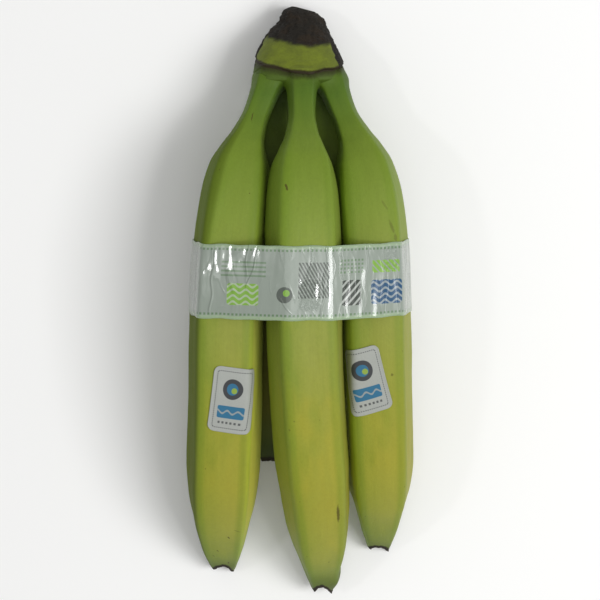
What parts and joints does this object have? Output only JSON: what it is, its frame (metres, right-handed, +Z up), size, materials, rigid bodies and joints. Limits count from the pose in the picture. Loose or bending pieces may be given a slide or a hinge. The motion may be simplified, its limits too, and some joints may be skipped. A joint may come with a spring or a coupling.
{
  "type": "banana hand",
  "caption": "Arched hand of green bananas grown from a dried crown, wrapped round the middle by a film band, with small stickers; lies on its tips and crown.",
  "frame": {"origin": "centre of the bounding box in plan, on the surface that the hand lies on", "axes": "+Z up; +Y from the tips towards the crown; +X to the right for someone above the hand with the crown away from them"},
  "size_m": [0.1038, 0.2759, 0.0833],
  "materials": {
    "peel": "waxy satin fruit peel, green at the stalks and yellower along the body",
    "film": "thin glossy printed film",
    "sticker": "smooth coated paper"
  },
  "bodies": {
    "root": {"banana_hand": "peel", "band": "film", "sticker_left": "sticker", "sticker_right": "sticker"}
  },
  "joints": []
}
